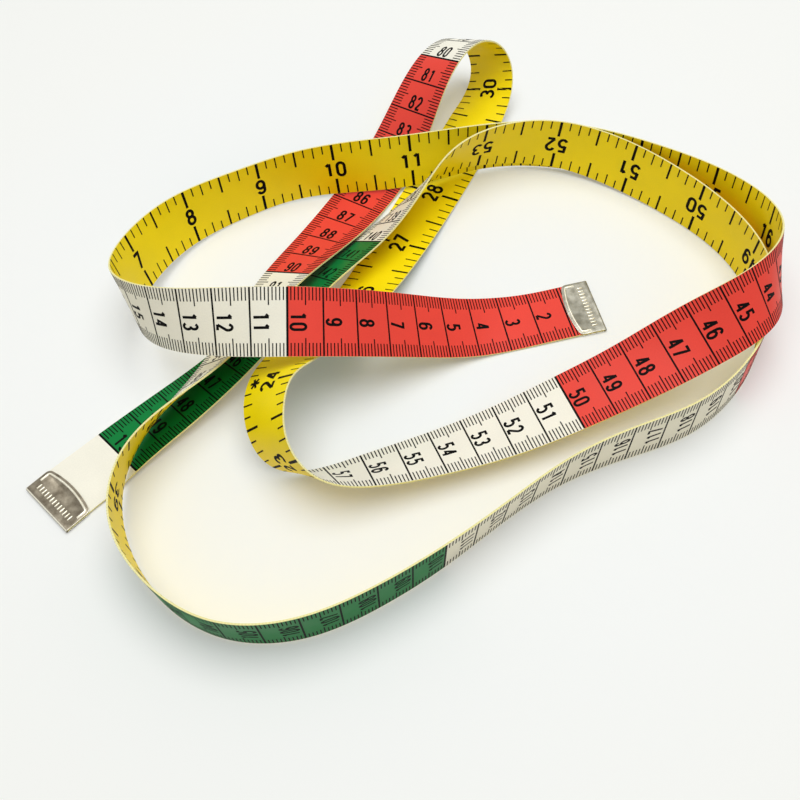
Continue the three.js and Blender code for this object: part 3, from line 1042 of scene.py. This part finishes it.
# %% [markdown]
# The paper under the tape is a large plain sheet. A photographed shadow on white paper is pale, so for
# the camera and for shiny things a part of the paper's own white shows in the shade too. Light Path
# picks them out. That part grows with the distance, so that the paper has no end. Between the loops,
# where the yellow would tint it, the paper is a little cooler. The light that it throws up on the tape
# is a little warm, as from a table.

# %% The paper
PAPER = swatch(247, 248, 244)
PAPER_BY_THE_TAPE = swatch(245, 248, 248)
PAPER_AS_LAMP = swatch(240, 233, 213)
PAPER_SIZE = 4
COOL_REACH = (60 * MM, 160 * MM)
FADE_REACH = (0.35, 0.9)
FADE_SHARES = (0.15, 1.0)


def looked_at(tree):
    """1 for what the camera, a reflection or a clear thing sees, and 0 for light on its way."""
    seen = node(tree, "ShaderNodeLightPath").outputs
    direct = math_node(tree, "MAXIMUM", seen["Is Camera Ray"], seen["Is Glossy Ray"])
    return math_node(tree, "MAXIMUM", direct, seen["Is Transmission Ray"])


def colour_mix(tree, share, first, second):
    return node(tree, "ShaderNodeMix", {0: share, 6: first, 7: second}, data_type="RGBA").outputs[2]


deselect()
bpy.ops.mesh.primitive_plane_add(size=PAPER_SIZE)
paper = named("paper")
white_paper, tree, shader = material("white_paper", 0.9)
places = node(tree, "ShaderNodeTexCoord").outputs["Object"]
far = node(tree, "ShaderNodeVectorMath", {0: places}, operation="LENGTH").outputs["Value"]
away = between(tree, far, *COOL_REACH, 0.0, 1.0)
white = colour_mix(tree, away, PAPER_BY_THE_TAPE, PAPER)
white = colour_mix(tree, looked_at(tree), PAPER_AS_LAMP, white)
tree.links.new(white, shader.inputs["Base Color"])
shader.inputs["Specular IOR Level"].default_value = 0.1
glow = node(tree, "ShaderNodeEmission", {"Color": PAPER, "Strength": 1.0})
fade = between(tree, far, *FADE_REACH, *FADE_SHARES)
share = math_node(tree, "MULTIPLY", looked_at(tree), fade)
mixed = node(tree, "ShaderNodeMixShader", {0: share, 1: shader.outputs[0], 2: glow.outputs[0]})
tree.links.new(mixed.outputs[0], tree.nodes["Material Output"].inputs["Surface"])
paper.data.materials.append(white_paper)
print("paper", PAPER_SIZE, "m wide")

# %% [markdown]
# The light is a wide soft lamp overhead with pale light from all round, at a level where a colour comes
# out about as it is written. For the camera and for shiny things the world is plain white beyond the
# paper, which adds no light to the object.

# %% The lamp and the surroundings
WORLD_COLOUR = (1, 1, 1, 1)
WORLD_STRENGTH = 0.38
LAMP_SIZE = 1.0
LAMP_POWER = 7.8
LAMP_PLACE = (0.05, 0.05, 1.0)

lamp_data = bpy.data.lights.new("overhead", "AREA")
lamp_data.shape = "DISK"
lamp_data.size = LAMP_SIZE
lamp_data.energy = LAMP_POWER
lamp = bpy.data.objects.new("overhead", lamp_data)
lamp.location = LAMP_PLACE
lamp.rotation_euler = (-lamp.location).to_track_quat("-Z", "Y").to_euler()
bpy.context.scene.collection.objects.link(lamp)

world = bpy.data.worlds.new("studio")
world.use_nodes = True
bpy.context.scene.world = world
tree = world.node_tree
lighting = tree.nodes["Background"]
lighting.inputs["Color"].default_value = WORLD_COLOUR
lighting.inputs["Strength"].default_value = WORLD_STRENGTH
backdrop = node(tree, "ShaderNodeBackground", {"Color": PAPER, "Strength": 1.0})
shaders = {0: looked_at(tree), 1: lighting.outputs[0], 2: backdrop.outputs[0]}
mixed = node(tree, "ShaderNodeMixShader", shaders)
tree.links.new(mixed.outputs[0], tree.nodes["World Output"].inputs["Surface"])
print("lamp of", lamp_data.energy, "W at", round(lamp.location.length, 2), "m")
